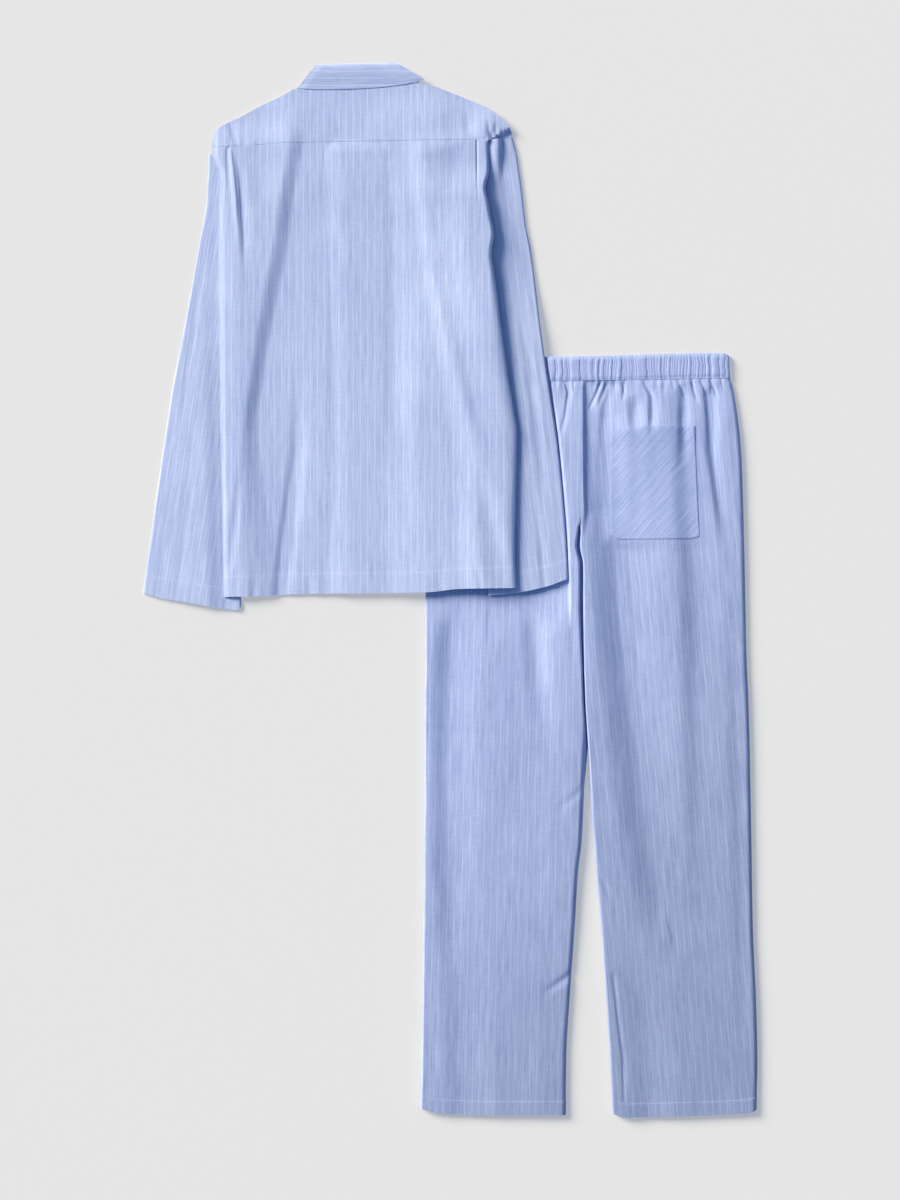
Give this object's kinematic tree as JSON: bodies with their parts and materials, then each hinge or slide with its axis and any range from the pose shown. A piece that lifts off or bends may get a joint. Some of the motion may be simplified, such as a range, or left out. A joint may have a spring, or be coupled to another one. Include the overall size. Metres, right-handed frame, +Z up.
{
  "type": "pyjama set",
  "caption": "Pyjama set laid flat, seen from its back: long-sleeved collared shirt with a yoke, lying over the hip of long trousers with a gathered elastic waist and a back patch pocket.",
  "frame": {"origin": "on the surface that the set lies on, under the middle of the whole set", "axes": "+X to the wearer's right as the back is seen from above, +Y up the layout from the trouser hems to the collar, +Z up from the surface"},
  "size_m": [0.8599, 1.4749, 0.0161],
  "materials": {
    "shirt_cloth": "soft blue cotton with fine white pinstripes and a faint slubbed weave",
    "trouser_cloth": "the same blue pinstriped cotton, its stripes running down each leg",
    "collar_cloth": "the same blue pinstriped cotton, its stripes running along the collar",
    "button_plastic": "pale pearly plastic"
  },
  "bodies": {
    "root": {"trouser_front_left": "trouser_cloth", "trouser_front_right": "trouser_cloth", "trouser_back_left": "trouser_cloth", "trouser_back_right": "trouser_cloth", "waistband": "trouser_cloth", "back_pocket": "trouser_cloth", "sleeve_left": "shirt_cloth", "sleeve_right": "shirt_cloth", "front_left": "shirt_cloth", "front_right": "shirt_cloth", "shirt_back": "shirt_cloth", "yoke": "shirt_cloth", "collar_point_left": "collar_cloth", "collar_point_right": "collar_cloth", "collar_stand_front": "collar_cloth", "collar_stand_back": "collar_cloth", "collar_leaf": "collar_cloth", "button_1": "button_plastic", "button_2": "button_plastic", "button_3": "button_plastic", "button_4": "button_plastic", "button_5": "button_plastic"}
  },
  "joints": []
}
